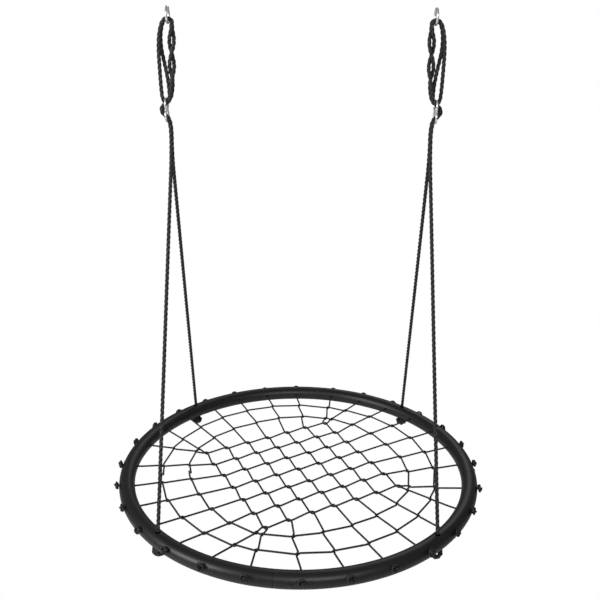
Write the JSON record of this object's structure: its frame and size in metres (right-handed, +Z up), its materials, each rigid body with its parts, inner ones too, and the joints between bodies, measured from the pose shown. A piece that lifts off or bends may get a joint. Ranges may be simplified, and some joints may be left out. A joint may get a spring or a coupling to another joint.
{
  "type": "round net swing",
  "caption": "Round seat ring of black plug-together tube with a hand-laced cord net, hung on two adjustable rope loops from steel hang rings.",
  "frame": {"origin": "midway between the centres of the two hang rings", "axes": "+X along the line through both hang rings, +Y towards the back, +Z up"},
  "size_m": [1.0344, 1.0344, 1.2885],
  "materials": {
    "ring_powder_coat": "satin black powder coat",
    "screw_black_zinc": "black zinc",
    "net_cord_black": "twisted polypropylene cord",
    "rope_black": "twisted polypropylene rope",
    "bright_steel": "bright zinc"
  },
  "bodies": {
    "hang_rings": {"left_hang_ring": "bright_steel", "right_hang_ring": "bright_steel"},
    "left_top": {"left_rope_turns": "rope_black"},
    "left_ropes": {"left_rope_loop": "rope_black", "left_front_rope_leg": "rope_black", "left_back_rope_leg": "rope_black", "left_adjuster": "bright_steel"},
    "right_top": {"right_rope_turns": "rope_black"},
    "right_ropes": {"right_rope_loop": "rope_black", "right_front_rope_leg": "rope_black", "right_back_rope_leg": "rope_black", "right_adjuster": "bright_steel"},
    "seat": {"ring_quadrant_1": "ring_powder_coat", "ring_quadrant_2": "ring_powder_coat", "ring_quadrant_3": "ring_powder_coat", "ring_quadrant_4": "ring_powder_coat", "joint_screws": "screw_black_zinc", "net_cord_a1": "net_cord_black", "net_cord_a2": "net_cord_black", "net_cord_a3": "net_cord_black", "net_cord_a4": "net_cord_black", "net_cord_a5": "net_cord_black", "net_cord_a6": "net_cord_black", "net_cord_a7": "net_cord_black", "net_cord_b1": "net_cord_black", "net_cord_b2": "net_cord_black", "net_cord_b3": "net_cord_black", "net_cord_b4": "net_cord_black", "net_cord_b5": "net_cord_black", "net_cord_b6": "net_cord_black", "net_cord_b7": "net_cord_black", "net_hoop_outer": "net_cord_black", "net_hoop_inner": "net_cord_black", "left_front_rope_end": "rope_black", "left_back_rope_end": "rope_black", "right_front_rope_end": "rope_black", "right_back_rope_end": "rope_black"}
  },
  "joints": [
    {"name": "swing", "type": "hinge", "parent": "hang_rings", "child": "left_top", "pos_m": [-0.31496, 0, 0], "axis": [1, 0, 0], "range_deg": [-45, 45]},
    {"name": "sway", "type": "hinge", "parent": "left_top", "child": "left_ropes", "pos_m": [-0.31496, 0, -0.018], "axis": [0, 1, 0], "range_deg": [-12, 12]},
    {"name": "seat_level", "type": "hinge", "parent": "left_ropes", "child": "seat", "pos_m": [-0.33856, 0, -1.18455], "axis": [0, 1, 0], "range_deg": [-12, 12]},
    {"name": "right_swing", "type": "hinge", "parent": "hang_rings", "child": "right_top", "pos_m": [0.31496, 0, 0], "axis": [1, 0, 0], "range_deg": [-45, 45]},
    {"name": "right_sway", "type": "hinge", "parent": "right_top", "child": "right_ropes", "pos_m": [0.31496, 0, -0.018], "axis": [0, 1, 0], "range_deg": [-12, 12]}
  ],
  "couplings": [
    {"joint": "seat_level", "follows": "sway", "ratio": -0.93029},
    {"joint": "right_swing", "follows": "swing", "ratio": 1},
    {"joint": "right_sway", "follows": "sway", "ratio": 1}
  ]
}
